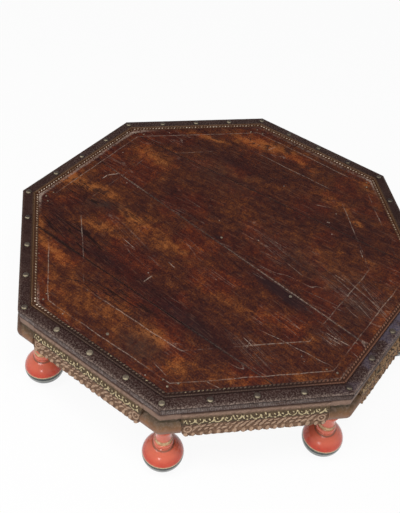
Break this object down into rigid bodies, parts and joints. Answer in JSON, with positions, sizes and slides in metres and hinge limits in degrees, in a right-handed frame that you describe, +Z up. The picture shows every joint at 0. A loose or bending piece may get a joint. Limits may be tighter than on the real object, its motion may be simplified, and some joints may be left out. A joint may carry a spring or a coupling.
{
  "type": "low tea table",
  "caption": "Octagonal low tea table with a boarded top bound in nailed iron straps and beaded strips, on a carved scalloped frame with turned ball feet.",
  "frame": {"origin": "on the floor under the middle of the top", "axes": "+Z up, -Y towards the front side, which is square to one of the straight sides of the octagon"},
  "size_m": [0.613, 0.613, 0.17],
  "materials": {
    "dark_board_wood": "dark waxed old hardwood, worn",
    "tongue_wood": "bare wood",
    "rough_batten_wood": "bare sawn wood",
    "dark_iron": "dark oiled iron",
    "worn_iron": "iron worn grey by handling",
    "tarnished_brass": "tarnished",
    "painted_carved_wood": "carved, with worn gilding and paint",
    "plain_frame_wood": "oiled wood with paint in the hollows",
    "red_lacquered_wood": "turned, glossy red lacquer"
  },
  "bodies": {
    "root": {"apron_back": "painted_carved_wood", "apron_back_left": "painted_carved_wood", "apron_back_right": "painted_carved_wood", "apron_front": "painted_carved_wood", "apron_front_left": "painted_carved_wood", "apron_front_right": "painted_carved_wood", "apron_left": "painted_carved_wood", "apron_right": "painted_carved_wood", "batten_1": "rough_batten_wood", "batten_2": "rough_batten_wood", "bead_strip_back": "tarnished_brass", "bead_strip_back_left": "tarnished_brass", "bead_strip_back_right": "tarnished_brass", "bead_strip_front": "tarnished_brass", "bead_strip_front_left": "tarnished_brass", "bead_strip_front_right": "tarnished_brass", "bead_strip_left": "tarnished_brass", "bead_strip_right": "tarnished_brass", "board_1": "dark_board_wood", "board_2": "dark_board_wood", "board_3": "dark_board_wood", "board_4": "dark_board_wood", "corner_post_1": "plain_frame_wood", "corner_post_2": "plain_frame_wood", "corner_post_3": "plain_frame_wood", "corner_post_4": "plain_frame_wood", "corner_post_5": "plain_frame_wood", "corner_post_6": "plain_frame_wood", "corner_post_7": "plain_frame_wood", "corner_post_8": "plain_frame_wood", "edge_band_back": "worn_iron", "edge_band_back_left": "worn_iron", "edge_band_back_right": "worn_iron", "edge_band_front": "worn_iron", "edge_band_front_left": "worn_iron", "edge_band_front_right": "worn_iron", "edge_band_left": "worn_iron", "edge_band_right": "worn_iron", "foot_1": "red_lacquered_wood", "foot_2": "red_lacquered_wood", "foot_3": "red_lacquered_wood", "foot_4": "red_lacquered_wood", "foot_5": "red_lacquered_wood", "foot_6": "red_lacquered_wood", "foot_7": "red_lacquered_wood", "foot_8": "red_lacquered_wood", "loose_tongue_1": "tongue_wood", "loose_tongue_2": "tongue_wood", "loose_tongue_3": "tongue_wood", "strap_back": "dark_iron", "strap_back_left": "dark_iron", "strap_back_right": "dark_iron", "strap_front": "dark_iron", "strap_front_left": "dark_iron", "strap_front_right": "dark_iron", "strap_left": "dark_iron", "strap_right": "dark_iron"}
  },
  "joints": []
}
